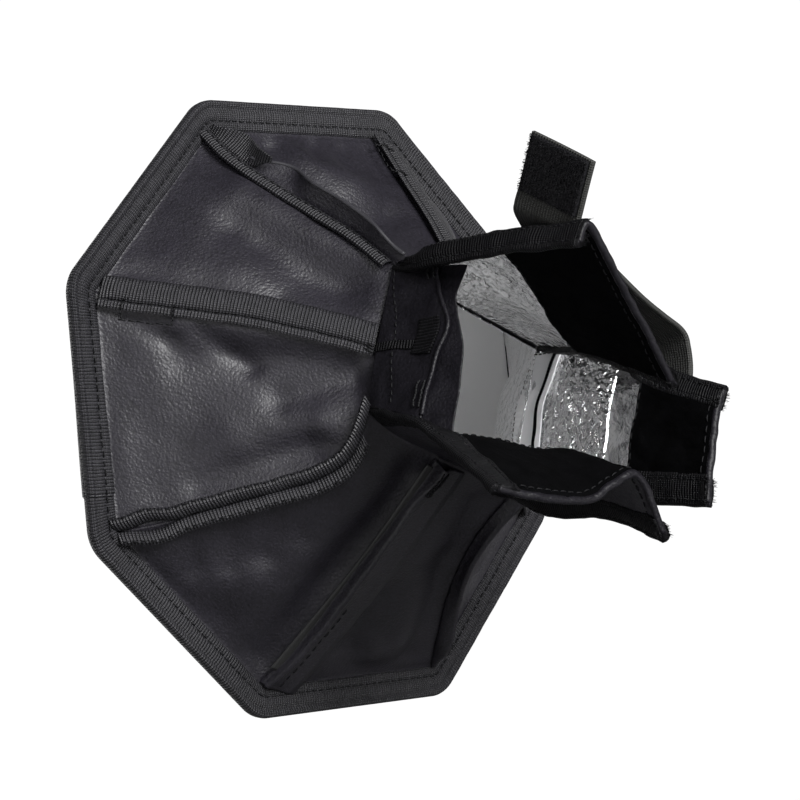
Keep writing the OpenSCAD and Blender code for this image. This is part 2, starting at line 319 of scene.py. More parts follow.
def silver_material():
    m, tree, shader = material("silver_lining")
    set_finish(shader, 0.15, 0.5, metallic=1.0)
    p = coordinates(tree, "Object")
    depth = add_node(tree, "ShaderNodeAttribute", {}, attribute_name="hammer").outputs["Fac"]
    both = weighted(tree, (noise_tex(tree, p, 2.6, 3.0, 0.55, 0.6), 0.9), (voronoi(tree, p, 1.9), 0.55))
    hammered = math_node(tree, "MULTIPLY", both, depth)
    emboss(tree, shader, (hammered, 1.5, 0.9), (noise_tex(tree, p, 0.7, 2.0), 0.06, 0.5))
    shader.inputs["Base Color"].default_value = (0.84, 0.84, 0.85, 1)
    return m


def cloth_material(name, color, through):
    """Plain woven cloth; through is the share of the light that passes through it."""
    m, tree, shader = material(name)
    set_finish(shader, 0.8, 0.2)
    weave = noise_tex(tree, coordinates(tree, "Object"), 0.45, 2.0, 0.6)
    emboss(tree, shader, (weave, 0.05, 0.5))
    shader.inputs["Base Color"].default_value = (*color, 1)
    if through:
        light = add_node(tree, "ShaderNodeBsdfTranslucent", {"Color": (*color, 1)})
        inputs = {0: through, 1: shader.outputs[0], 2: light.outputs[0]}
        mix = add_node(tree, "ShaderNodeMixShader", inputs)
        tree.links.new(mix.outputs[0], tree.nodes["Material Output"].inputs["Surface"])
    return m


def plain_material(name, color, rough, specular=0.4):
    m, _, shader = material(name)
    set_finish(shader, rough, specular)
    shader.inputs["Base Color"].default_value = (*color, 1)
    return m


MATERIAL = {
    "black_nylon": nylon_material(),
    "ribbed_binding": ribbed_material(),
    # Darker, duller copies of the nylon and the ribbed tape: painted shade for flap 1, the flap tapes, the hems and the
    # corded edge, which lie in shade; flap 1's cloth is also plainer and less shiny
    "shaded_nylon": nylon_material("shaded_nylon", 0.45),
    "shaded_ribbed": ribbed_material("shaded_ribbed", 0.27),
    "loop_pile": pile_material(),
    "elastic": elastic_material(),
    "hook_tape": hook_material(),
    "silver_lining": silver_material(),
    "diffuser_cloth": cloth_material("diffuser_cloth", (0.9, 0.9, 0.9), 0.26),
    "white_cloth": cloth_material("white_cloth", (0.78, 0.78, 0.79), 0.0),
    "rib_plastic": plain_material("rib_plastic", (0.03, 0.03, 0.03), 0.45),
    "frame_plastic": plain_material("frame_plastic", (0.1, 0.1, 0.1), 0.5),
    "thread": plain_material("thread", (0.006, 0.006, 0.007), 0.6, 0.2),
}

# ---- meshes ----


def add_object(name, data):
    o = bpy.data.objects.new(name, data)
    bpy.context.scene.collection.objects.link(o)
    return o


def make_object(name, verts, faces, slot, uv=None, look=None, values=None):
    """A mesh in one material: its slot's own, or another look of the same slot."""
    mesh = bpy.data.meshes.new(name)
    mesh.from_pydata((np.asarray(verts) * MM).tolist(), [], faces)
    mesh.materials.append(MATERIAL[look or slot])
    mesh.polygons.foreach_set("use_smooth", [True] * len(mesh.polygons))
    if uv is not None:
        layer = mesh.uv_layers.new(name="UVMap")
        index = np.empty(len(mesh.loops), np.int32)
        mesh.loops.foreach_get("vertex_index", index)
        layer.data.foreach_set("uv", (np.asarray(uv) * MM)[index].ravel().astype(np.float32))
    if values is not None:
        attribute = mesh.attributes.new("hammer", "FLOAT", "POINT")
        attribute.data.foreach_set("value", np.asarray(values, np.float32).ravel())
    mesh.update()
    o = add_object(name, mesh)
    return o


def arc_uv(grid):
    """UV in millimetres: along the columns in x, along the rows in y."""
    n, m = grid.shape[:2]
    du = np.linalg.norm(np.diff(grid, axis=1), axis=2)
    dv = np.linalg.norm(np.diff(grid, axis=0), axis=2)
    u = np.concatenate([np.zeros((n, 1)), np.cumsum(du, axis=1)], axis=1)
    v = np.concatenate([np.zeros((1, m)), np.cumsum(dv, axis=0)], axis=0)
    return np.stack([u, v], axis=-1)


def sheet_object(name, grid, slot, thick=0.4, lift=0.0, uv=None, look=None, values=None, flip=False):
    """A closed sheet of cloth: its outer face is lift + thick above the grid, its inner face lift above it."""
    n, m = grid.shape[:2]
    up = normals(grid) * (-1 if flip else 1)
    outer = grid + up * (lift + thick)
    inner = grid + up * lift
    verts = np.concatenate([outer.reshape(-1, 3), inner.reshape(-1, 3)])
    uv = arc_uv(grid) if uv is None else uv
    uvs = np.concatenate([uv.reshape(-1, 2)] * 2)
    size = n * m
    faces = []
    for j in range(n - 1):
        for i in range(m - 1):
            a, b, c, d = j * m + i, j * m + i + 1, (j + 1) * m + i + 1, (j + 1) * m + i
            faces.append((a, b, c, d))
            faces.append((a + size, d + size, c + size, b + size))
    edge = list(range(m)) + [j * m + m - 1 for j in range(1, n)]
    edge += [(n - 1) * m + i for i in range(m - 2, -1, -1)] + [j * m for j in range(n - 2, 0, -1)]
    for a, b in zip(edge, edge[1:] + edge[:1]):
        faces.append((a, a + size, b + size, b))
    if flip:
        faces = [f[::-1] for f in faces]
    if values is not None:
        values = np.concatenate([np.ravel(values)] * 2)
    return make_object(name, verts, faces, slot, uvs, look=look, values=values)


def swept(name, rings, slot, uv, closed_path=False, look=None):
    """A closed profile swept along a path: rings[i][j] is point j of the profile at step i."""
    n, m = rings.shape[:2]
    faces = []
    for i in range(n if closed_path else n - 1):
        k = (i + 1) % n
        for j in range(m):
            q = (j + 1) % m
            faces.append((i * m + j, i * m + q, k * m + q, k * m + j))
    if not closed_path:
        faces.append(tuple(range(m))[::-1])
        faces.append(tuple((n - 1) * m + j for j in range(m)))
    return make_object(name, rings.reshape(-1, 3), faces, slot, uv.reshape(-1, 2), look=look)


class Threads:
    """Stitches and fibres of one body, gathered into one mesh."""

    def __init__(self, name, body, slot="thread", look=None):
        self.name, self.body, self.slot, self.look = name, body, slot, look
        self.verts, self.faces = [], []

    def tube(self, points, radii, sides=5):
        points = np.asarray(points, float)
        start = sum(len(v) for v in self.verts)
        way = unit(np.gradient(points, axis=0))
        side = unit(np.cross(way, (0.31, 0.42, 0.85)))
        up = np.cross(way, side)
        angles = np.arange(sides) * 2 * math.pi / sides
        ring = side[:, None] * np.cos(angles)[None, :, None] + up[:, None] * np.sin(angles)[None, :, None]
        verts = points[:, None] + ring * np.asarray(radii)[:, None, None]
        self.verts.append(verts.reshape(-1, 3))
        for i in range(len(points) - 1):
            for j in range(sides):
                q = (j + 1) % sides
                a, b = start + i * sides, start + (i + 1) * sides
                self.faces.append((a + j, a + q, b + q, b + j))
        self.faces.append(tuple(start + j for j in range(sides))[::-1])
        last = start + (len(points) - 1) * sides
        self.faces.append(tuple(last + j for j in range(sides)))

    def stitch(self, a, b, up, radius=0.22, sink=0.2):
        """One stitch from a to b: its ends go down into the cloth."""
        t = np.array([0, 0.18, 0.5, 0.82, 1])[:, None]
        lift = np.array([-sink, radius * 0.7, radius, radius * 0.7, -sink])[:, None]
        self.tube(a * (1 - t) + b * t + up * lift, np.array([0.6, 1, 1, 1, 0.6]) * radius)

    def row(self, path, up, pitch=2.6, share=0.72, radius=0.22, jitter=0.12):
        """A row of stitches along a path of points, up being the cloth's normals there."""
        s = run_length(path)
        count = max(1, int(s[-1] / pitch))
        for i in range(count):
            ends = []
            for t in (i + 0.5 - share / 2, i + 0.5 + share / 2):
                t = t / count * s[-1]
                ends.append(np.array([np.interp(t, s, path[:, c]) for c in range(3)]))
            mid = (i + 0.5) / count * s[-1]
            normal = unit(np.array([np.interp(mid, s, up[:, c]) for c in range(3)]))
            shift = np.array([random.uniform(-jitter, jitter) for _ in range(3)])
            self.stitch(ends[0] + shift, ends[1] + shift, normal, radius)

    def fray(self, path, way, length, count, spread=0.35, radius=0.07):
        """Loose fibres that stand out of a cut end."""
        for _ in range(count):
            t = random.random() * (len(path) - 1)
            i = min(int(t), len(path) - 2)
            root = path[i] * (1 - t + i) + path[i + 1] * (t - i)
            bend = np.array([random.uniform(-spread, spread) for _ in range(3)])
            reach = length * random.uniform(0.4, 1.0)
            tip = root + unit(way + bend) * reach
            mid = (root + tip) / 2 + bend * reach * 0.3
            self.tube([root - way * 0.4, mid, tip], [radius, radius * 0.8, radius * 0.4], 4)

    def build(self):
        o = make_object(self.name, np.concatenate(self.verts), self.faces, self.slot, look=self.look)
        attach(o, self.body)
        return o


def sew(threads, grid, up, index, lift, pitch, *more):
    """Stitches along one row or column of a grid, lift mm above it."""
    threads.row(grid[index] + up[index] * lift, up[index], pitch, *more)


SHELL_THREADS = Threads("shell_threads", "shell")
FLAP_THREADS = {f: Threads(f"flap_{f}_threads", f"neck_flap_{f}") for f in (1, 2, 3, 4)}

# ---- camera, world and floor ----

CAMERA_AT = Vector((0.623, 0.635, -0.063))
CAMERA_RIGHT = Vector((-0.729, 0.678, -0.096))
CAMERA_BACK = Vector((0.684, 0.726, -0.066))
LENS = 127.6


def camera():
    data = bpy.data.cameras.new("camera")
    data.lens = LENS
    data.sensor_width = 36
    data.clip_start = 0.01
    o = add_object("camera", data)
    back = CAMERA_BACK.normalized()
    right = (CAMERA_RIGHT - back * CAMERA_RIGHT.dot(back)).normalized()
    up = back.cross(right)
    o.matrix_world = [[right.x, up.x, back.x, CAMERA_AT.x], [right.y, up.y, back.y, CAMERA_AT.y],
                      [right.z, up.z, back.z, CAMERA_AT.z], [0, 0, 0, 1]]
    o.matrix_world.transpose()
    bpy.context.scene.camera = o


def world():
    """White behind the object, and a dimmer surround elsewhere."""
    w = bpy.data.worlds.new("studio")
    bpy.context.scene.world = w
    w.use_nodes = True
    tree = w.node_tree
    background = tree.nodes["Background"]
    background.inputs["Color"].default_value = (1, 1, 1, 1)
    way = tree.nodes.new("ShaderNodeTexCoord").outputs["Generated"]
    inputs = {0: way, 1: tuple(-CAMERA_BACK.normalized())}
    dot = add_node(tree, "ShaderNodeVectorMath", inputs, operation="DOT_PRODUCT").outputs["Value"]
    tree.links.new(ramp(tree, dot, 0.05, 1.05, 0.8, 0.97), background.inputs["Strength"])


def area_light(name, place, target, size, power):
    data = bpy.data.lights.new(name, "AREA")
    data.shape = "RECTANGLE"
    data.size = data.size_y = size
    data.energy = power
    o = add_object(name, data)
    o.location = place
    o.rotation_euler = (Vector(target) - Vector(place)).to_track_quat("-Z", "Y").to_euler()


def floor():
    """White ground that glows far off, with painted shade that makes it greyer close to the object."""
    m, tree, shader = material("floor_white")
    set_finish(shader, 0.9, 0.1)
    shader.inputs["Emission Color"].default_value = (1, 1, 1, 1)
    place = tree.nodes.new("ShaderNodeTexCoord").outputs["Object"]
    far = add_node(tree, "ShaderNodeVectorMath", {0: place}, operation="LENGTH").outputs["Value"]
    # Painted shade: glow and colour both fall off close to the object, so the ground under it is grey and throws less
    # light up onto it
    tree.links.new(ramp(tree, far, 0.03, 0.95, 0.5, 1.35), shader.inputs["Emission Strength"])
    shade(tree, shader, (1, 1, 1), ramp(tree, far, 0.0, 1.0, 0.5, 1.35), 0.14, 0.75)
    mesh = bpy.data.meshes.new("floor")
    r, z = 40.0, -0.24
    mesh.from_pydata([(-r, -r, z), (r, -r, z), (r, r, z), (-r, r, z)], [], [(0, 1, 2, 3)])
    mesh.materials.append(m)
    add_object("floor", mesh)


bpy.context.scene.view_settings.view_transform = "Standard"
camera()
world()
floor()
area_light("key", (0.2, 1.4, 0.62), (0, 0, 0), 0.7, 42)
area_light("left", (1.3, 0.7, 0.9), (0, 0, 0), 0.22, 3.2)
area_light("front", (0, -0.8, 0), (0, 0, 0), 0.5, 2.4)
area_light("glow", (0.03, -0.15, 0.06), (0.024, -0.066, 0.052), 0.05, 0.07)

# ---- rim binding ----

# Profile of the binding, as [apothem from the rim's edge, height above the front of the rim]
BINDING_PROFILE = [
    (-9.9, 2.95), (-9.7, 3.5), (-9.0, 3.85), (-8.0, 3.95), (-7.2, 3.85), (-6.7, 3.5), (-6.2, 3.85), (-5.2, 4.1),
    (-4.0, 4.15), (-3.2, 4.0), (-2.7, 3.7), (-2.2, 4.0), (-1.5, 4.45), (-0.8, 4.5), (-0.2, 4.1), (0.1, 3.3),
    (0.15, 2.3), (0.0, 1.2), (-0.5, 0.4), (-1.3, 0.1), (-2.6, 0.25), (-4.0, 0.0), (-6.2, 0.05), (-6.7, 0.35),
    (-7.2, 0.05), (-9.3, 0.05), (-9.85, 0.3), (-9.95, 0.9), (-9.9, 2.0)]
CORNER_ROUND = 13.0
SIDE_STEPS = 90
CORNER_STEPS = 22


def rim_path(apothem):
    """Points and lengths along a rounded octagon of that apothem; each side starts at its middle."""
    fall = APOTHEM - apothem
    r = max(1.2, CORNER_ROUND - fall * 1.15)
    half = apothem * math.tan(HALF_STEP) - r * math.tan(HALF_STEP)
    full = APOTHEM * math.tan(HALF_STEP)
    turn = 2 * HALF_STEP
    points, lengths = [], []
    for k in range(8):
        c, s = math.cos(turn * k), math.sin(turn * k)
        line = [(apothem, t) for t in np.linspace(0, half, SIDE_STEPS // 2, endpoint=False)]
        arc = [(apothem - r + r * math.cos(t), half + r * math.sin(t))
               for t in np.linspace(0, turn, CORNER_STEPS, endpoint=False)]
        back = [(apothem * math.cos(turn) - t * math.sin(turn), apothem * math.sin(turn) + t * math.cos(turn))
                for t in np.linspace(-half, 0, SIDE_STEPS // 2, endpoint=False)]
        for x, y in line + arc + back:
            points.append((c * x - s * y, s * x + c * y))
        total = half + r * HALF_STEP
        keep = min(27.0, half - 1)

        def spread(x):
            return x if x <= keep else keep + (full - keep) * (x - keep) / (total - keep)
        for i in range(SIDE_STEPS // 2):
            lengths.append(2 * full * k + spread(i / (SIDE_STEPS // 2) * half))
        for i in range(CORNER_STEPS):
            x = half + r * turn * i / CORNER_STEPS
            lengths.append(2 * full * k + (spread(x) if x <= total else 2 * full - spread(2 * total - x)))
        for i in range(SIDE_STEPS // 2):
            lengths.append(2 * full * (k + 1) - spread(half - i / (SIDE_STEPS // 2) * half))
    return np.array(points), np.array(lengths)


# The binding's end lies over its start from this height up, on the side between seams 7 and 8
OVERLAP_AT = -26.0
OVERLAP_LEN = 44.0


def overlap(points):
    """How far the top layer of the binding stands above the one below it, along the side that faces -x."""
    x, y = points[:, 0], points[:, 1]
    along = (y - OVERLAP_AT) / OVERLAP_LEN
    on = (x < 0) & (along > 0) & (along < 1)
    return np.where(on, 0.95 * (1 - smooth(along)), 0.0)


def rim_binding():
    rings, uvs = [], []
    across = 0.0
    last = BINDING_PROFILE[0]
    for fall, height in BINDING_PROFILE:
        across += math.hypot(fall - last[0], height - last[1])
        last = (fall, height)
        pts, along = rim_path(APOTHEM + fall)
        out = unit(pts)
        p3 = np.stack([-pts[:, 0], np.full(len(pts), RIM_Y + height), pts[:, 1]], axis=1)
        waver, fine = noise_field(p3, 9.0, 1), noise_field(p3, 2.6, 2)
        extra = overlap(pts)
        grow = 0.35 * waver * smooth((-7.5 - fall) / 2)
        grow = grow + extra * (0.35 if height > 1 else 0.6) * smooth((fall + 10) / 4)
        p3[:, 0] -= out[:, 0] * grow
        p3[:, 2] += out[:, 1] * grow
        if height > 1.5:
            p3[:, 1] += 0.18 * waver + 0.1 * fine + extra * 0.8
        rings.append(p3)
        uvs.append(np.stack([along, np.full(len(along), across)], axis=1))
    rings = np.swapaxes(np.array(rings), 0, 1)
    uvs = np.swapaxes(np.array(uvs), 0, 1)
    o = swept("binding_rim", rings[:, ::-1], "ribbed_binding", uvs[:, ::-1], closed_path=True)
    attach(o, "shell")
    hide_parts("rim_binding", "rim_binding_end")
    for groove, way, lift in (((-6.7, 3.5), OUT, 0.25), ((-6.7, 0.35), -OUT, 0.2)):
        path = rings[:, BINDING_PROFILE.index(groove)]
        path = np.vstack([path, path[:1]])
        SHELL_THREADS.row(path + way * lift, np.tile(way, (len(path), 1)), 2.9, 0.62, 0.24)


rim_binding()

# ---- seams and shell panels ----

HEM_Z = RIM_T - 0.85
SIDE_ACROSS = (-1, 0, 1, 1, 1, 0, -1, -1)
SIDE_UP = (1, 1, 1, 0, -1, -1, -1, 0)
# Each seam's way off its straight line: [share of its length, sideways towards the seam before it, outwards]
SEAM_PATH = {
    1: [(0, 1.5, 0), (0.15, 3.5, 0), (0.35, 3, 0), (0.55, 1, 0), (0.8, -1, 0.5), (1, -0.5, 0.5)],
    2: [(0, 0, 0), (0.3, -1, 1), (0.6, -1.5, 2.5), (0.85, -1, 2), (1, 0, 0)],
    3: [(0, 0, 0), (0.5, 0, -2), (0.8, 0, -2), (1, 0, 0)],
    4: [(0, 0, 0), (0.4, 1, -4), (0.75, 0, -9), (0.9, 0, -4.5), (1, 0, 0)],
    5: [(0, 0, 0), (0.25, -4, -1.5), (0.5, -6.5, -3), (0.75, -5, -3), (1, 0, 0)],
    6: [(0, 0, 0), (0.2, 0.5, 1), (0.6, 1, 2), (1, 0, 1)],
    7: [(0, 0, 0), (0.16, 4, 0), (0.32, 6.5, 0), (0.55, 10.5, 0), (0.74, 13, 0), (0.86, 11, 1), (1, 0, 1)],
    8: [(0, 0, 0), (0.28, -1.3, 0), (0.55, -2.4, 0.3), (0.8, -1.5, 0), (1, 0, 0)],
}
# How far off the neck's corner a seam with slack cloth meets it: across and up
NECK_SHIFT = {7: (2.5, 4.8)}


def seam_angle(k):
    return 112.5 - 45 * ((k - 1) % 8)


def seam_frame(k):
    """Directions at seam k: sideways towards seam k - 1, outwards, and along it towards the neck."""
    a, b = seam_ends(k)
    way = unit(b - a)
    angle = math.radians(seam_angle(k))
    side = np.array((math.sin(angle), 0, math.cos(angle)))
    side = unit(side - way * (side @ way))
    out = np.cross(way, side)
    if out @ (rim(1, seam_angle(k)) - rim(0, 0)) < 0:
        out = -out
    return side, out, way


def seam_ends(k):
    """Where seam k starts under the binding and where it meets the neck."""
    i = (k - 1) % 8
    a = rim(INNER / math.cos(HALF_STEP), seam_angle(k), HEM_Z)
    shift = NECK_SHIFT.get(i + 1, (0, 0))
    b = neck(SIDE_ACROSS[i] * NECK_W / 2 + shift[0], SIDE_UP[i] * NECK_H / 2 + shift[1], -0.5)
    return a, b


def seam_curve(k, v):
    """Points on seam k, v from 0 at the rim to 1 at the neck."""
    a, b = seam_ends(k)
    side, out, _ = seam_frame(k)
    v = np.asarray(v, float)
    path = SEAM_PATH[(k - 1) % 8 + 1]
    sideways = curve([(q[0], q[1]) for q in path], v)[..., None]
    outwards = curve([(q[0], q[2]) for q in path], v)[..., None]
    return a + (b - a) * v[..., None] + side * sideways + out * outwards


def panel_base(k, u, v):
    """Points on the smooth surface of panel k, u from seam k to seam k + 1 and v from the rim to the neck."""
    return seam_curve(k, v) * (1 - u[..., None]) + seam_curve(k + 1, v) * u[..., None]


# Folds of each panel: [u0, v0, u1, v1, width mm, height mm], a ridge or a valley between two points
FOLDS = {
    1: [(0.42, 0.2, 0.58, 0.30, 12, 4.6), (0.3, 0.02, 0.36, 0.4, 5, -3.0), (0.56, 0.02, 0.5, 0.16, 3.5, -1.8),
        (0.72, 0.04, 0.68, 0.24, 4, -2.4), (0.86, 0.05, 0.78, 0.45, 5, -1.8), (0.3, 0.55, 0.7, 0.5, 9, -3.2),
        (0.2, 0.1, 0.14, 0.7, 7, -2.6)],
    2: [(0.3, 0.2, 0.5, 0.8, 12, 2.5), (0.7, 0.1, 0.6, 0.7, 7, -2.0)],
    3: [(0.4, 0.2, 0.45, 0.6, 12, 2.5), (0.2, 0.2, 0.6, 0.7, 6, -1.5)],
    4: [(0.5, 0.15, 0.4, 0.7, 10, -1.5), (0.75, 0.2, 0.6, 0.6, 6, -2.0)],
    5: [(0.3, 0.2, 0.4, 0.5, 11, 3.2), (0.62, 0.16, 0.7, 0.36, 5, -1.8), (0.45, 0.12, 0.5, 0.2, 4, 1.4),
        (0.2, 0.55, 0.6, 0.45, 8, -2.4), (0.16, 0.1, 0.2, 0.9, 6, -2.6)],
    6: [(0.42, 0.3, 0.6, 0.7, 16, 3.0), (0.05, 0.06, 0.06, 0.95, 8, -5.5), (0.55, 0.35, 0.8, 0.52, 5, -1.6),
        (0.62, 0.22, 0.85, 0.34, 4, -1.3), (0.7, 0.12, 0.9, 0.2, 4, -1.2), (0.5, 0.5, 0.75, 0.68, 5, -1.6)],
    7: [(0.35, 0.45, 0.42, 0.75, 9, 2.6), (0.95, 0.3, 0.95, 0.9, 6, 4.0), (0.75, 0.3, 0.78, 0.9, 6, -2.0),
        (0.93, 0.08, 0.82, 0.24, 3.5, -2.2), (0.88, 0.36, 0.7, 0.52, 3.5, -2.0), (0.5, 0.62, 0.6, 0.9, 6, -2.4),
        (0.12, 0.3, 0.2, 0.7, 5, -2.2), (0.3, 0.75, 0.1, 0.9, 5, 2.0)],
    8: [(0.35, 0.25, 0.4, 0.5, 15, 2.2), (0.88, 0.3, 0.84, 0.85, 9, 4.0), (0.6, 0.35, 0.55, 0.8, 8, -2.0),
        (0.25, 0.65, 0.6, 0.85, 10, -2.0), (0.12, 0.05, 0.08, 0.6, 5, -1.6)],
}
PANEL_N = 72


def fold_height(k, p, to_point):
    """Sum of the panel's folds at points p."""
    total = np.zeros(p.shape[:-1])
    for u0, v0, u1, v1, width, height in FOLDS[k]:
        a, b = to_point(u0, v0), to_point(u1, v1)
        ab = b - a
        t = np.clip(((p - a) @ ab) / (ab @ ab), 0, 1)
        gap = np.linalg.norm(p - (a + ab * t[..., None]), axis=-1)
        total += height * np.exp(-(gap / width) ** 2)
    return total


def panel_grid(k):
    """Panel k's surface with its folds and wrinkles, and the outward normals of the smooth surface."""
    n = PANEL_N
    u, v = np.meshgrid(np.linspace(0, 1, n), np.linspace(0, 1, n))
    p = panel_base(k, u, v)
    up = normals(p)
    centre = p[n // 2, n // 2] - np.array((0, RIM_Y, 0))
    if up[n // 2, n // 2] @ (centre * np.array((1, 0, 1))) < 0:
        up = -up
    edge = np.sin(math.pi * u) ** 0.6 * np.clip(v / 0.06, 0, 1) * np.clip((1 - v) / 0.1, 0, 1)
    sag = 2.0 * np.sin(math.pi * u) * np.sin(math.pi * v)

    def to_point(a, b):
        return panel_base(k, np.array(a), np.array(b))
    bumps = fold_height(k, p, to_point)
    wrinkle = 1.8 * noise_field(p, 28, k) + 0.6 * noise_field(p, 12, k + 9) + 0.06 * noise_field(p, 4, k + 20)
    return p + up * (edge * (bumps + wrinkle) - sag)[..., None], up


def with_hem(grid):
    """The panel's grid with its hem, which lies under the binding."""
    first = grid[0]
    mid = (first[0] + first[-1]) / 2
    out = unit(np.array((mid[0], 0, mid[2])))
    return np.concatenate([np.array([first + out * s for s in (6.5, 3.0)]), grid])


def shell_panels():
    for k in range(1, 9):
        grid, up = panel_grid(k)
        grid = with_hem(grid)
        flip = (normals(grid)[10, 10] @ up[8, 10]) < 0
        shell = sheet_object(f"cloth_panel_{k}", grid, "black_nylon", 0.4, -0.4, flip=flip)
        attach(shell, "shell")
        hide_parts(f"shell_panel_{k}")
        hammer = np.ones(grid.shape[:2])
        lining = sheet_object(f"silver_panel_{k}", grid, "silver_lining", 0.25, -1.45, flip=flip, values=hammer)
        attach(lining, "shell")
        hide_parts(f"lining_panel_{k}")


shell_panels()


# ---- diffuser ----

def diffuser():
    low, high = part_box("diffuser")
    r = high.x / MM - 0.5
    rows = []
    for t in np.arange(60) / 59 * 2 - 1:
        row = []
        for s in np.arange(60) / 59 * 2 - 1:
            reach = max(abs(s), abs(t))
            angle = math.atan2(t, s)
            sector = (math.degrees(angle) + 22.5) % 45 - 22.5
            limit = min(r / math.cos(math.radians(sector)), 105.0)
            x, z = math.cos(angle) * limit * reach, math.sin(angle) * limit * reach
            sag = 1.2 * (1 - reach ** 2) * wave_noise((x, 0, z), 60, 3)
            sag += 0.5 * (1 - reach ** 4) * wave_noise((x, 0, z), 22, 5)
            row.append((x, low.y / MM + sag, z))
        rows.append(row)
    grid = np.array(rows)
    o = sheet_object("diffuser_sheet", grid, "diffuser_cloth", 0.3)
    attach(o, "shell")
    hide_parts("diffuser")


diffuser()

# ---- flaps ----

# Each flap's surface as rows of points from its base to its free edge, as [across, up, out from the seam]
FLAP_NET = {
    1: [[(-33.5, 25, 0), (-33.5, 10, 0), (-33.2, -5, 0), (-31.3, -21, 0)],
        [(-31.5, 25.2, 8.5), (-31.4, 10.5, 8.5), (-31.3, -5, 9.5), (-31.6, -24.2, 11)],
        [(-29.5, 25, 17.5), (-29.6, 11, 17), (-29, -5.5, 20), (-30.5, -28, 22)],
        [(-27.6, 24.5, 26), (-27.8, 12, 25.5), (-26.2, -5, 31), (-26.8, -31.5, 34)]],
    2: [[(-34, 24.5, 0), (-33, 25, 0), (-20, 25, 0), (-3, 25, 0), (14, 25, 0), (33.5, 25, 0)],
        [(-35.2, 22.6, 10), (-34.5, 26.8, 10), (-21, 27, 12), (-5, 25, 13), (10, 23.5, 13), (30, 20.5, 13)],
        [(-35.6, 22.4, 21), (-34.6, 28.2, 20), (-21, 27.5, 26), (-7, 23.5, 27), (6, 20.5, 26), (23.5, 16, 27)],
        [(-34.6, 22, 52), (-33.2, 28.6, 52), (-21, 25.5, 49), (-8, 20.5, 47), (4, 15.5, 45), (18, 9.5, 43)],
        [(-32.4, 20.4, 79), (-31.2, 27.3, 80), (-20, 22, 79), (-8, 15.5, 77), (7, 7.5, 75.5), (22, -2, 74)]],
    3: [[(34, 25, 0), (33, 10, 0), (34, -8, 0), (33.5, -25, 0)],
        [(34.5, 23.5, 18), (34, 9, 18), (35, -9, 18), (35, -27, 18)],
        [(36.5, 18.5, 36), (35.5, 7, 36), (36.5, -11, 36), (37.5, -29, 36)],
        [(37.5, 10.8, 54), (36.5, 3, 54), (37.5, -13, 54), (39.5, -31, 54)],
        [(38, 2.6, 78.5), (37.3, -8, 78.5), (38, -21, 79), (39, -34.6, 79)]],
    4: [[(-31.5, -21.5, 0), (-20, -25, 0), (-3.5, -25, 0), (5.5, -25, 0), (13.5, -25, 0), (33.5, -26, 0)],
        [(-33.5, -26.5, 15), (-21, -26.5, 16), (-4, -26, 16), (5, -25.5, 16), (13, -25.5, 16), (31.5, -33, 15)],
        [(-35, -32, 29), (-22, -30, 31), (-5, -28, 33), (4, -27, 34), (12, -26, 34), (30, -36.5, 28)],
        [(-36.5, -42, 46), (-24, -38, 49), (-8, -33.5, 51), (0, -31, 52), (9, -28.5, 53), (28.5, -39, 47)],
        [(-40.5, -58, 72), (-26, -55.5, 75), (-7, -50, 76), (0, -43, 77), (9, -37, 78), (24.5, -50.5, 78)]],
}
# The side of each flap that is the outside, as the sign of the grid's normal
OUTSIDE = {1: -ACROSS, 2: UP, 3: ACROSS, 4: -UP}


def flap_surface(f, n=84, m=70):
    return net([[neck(*q) for q in r] for r in FLAP_NET[f]], n, m)


def oriented(grid, direction):
    """True where the grid's normals point away from the given direction."""
    mid = normals(grid)[grid.shape[0] // 2, grid.shape[1] // 2]
    return (mid @ direction) < 0


def along_row(line, up, x):
    """The points and normals x mm along a row of points; x may be an array."""
    s = run_length(line)
    points, ups = (np.stack([np.interp(x, s, q[:, c]) for c in range(3)], axis=-1) for q in (line, up))
    return points, unit(ups), s[-1]


def band(grid, up, rows, left, right, m):
    """The part of a grid's rows that lies left mm from one side to right mm from the other."""
    points, ups = [], []
    for j in rows:
        length = along_row(grid[j], up[j], 0)[2]
        q, w, _ = along_row(grid[j], up[j], np.linspace(left, length - right, m))
        points.append(q)
        ups.append(w)
    return np.array(points), np.array(ups)


# Width of the tape on each side of a flap, mm, on the outer and on the inner face
TAPE_WIDTH = {(2, "left"): (7.6, 4.0), (2, "right"): (6.0, 2.2), (3, "left"): (7.0, 7.0),
              (3, "right"): (8.0, 9.0), (4, "left"): (7.0, 8.0), (4, "right"): (7.0, 5.0)}
# Where the loop pile starts along each flap, as shares of its length at its left and at its right
PILE_FROM = {2: (0.675, 0.6), 3: (0.64, 0.625), 4: (0.6, 0.62)}
# Its distance from the flap's left and right sides, mm
PILE_SIDES = {2: (7.8, 2.0), 3: (6.6, 8.6), 4: (6.0, 4.5)}
# Profile of the hem along a flap's free edge, as [out, up]
HEM_PROFILE = [(-1.7, 0.5), (-1.4, 0.75), (-0.4, 0.85), (0.3, 0.5), (0.4, -0.2), (0.2, -0.9), (-0.4, -1.4),
               (-1.1, -1.45), (-1.3, -1.3)]


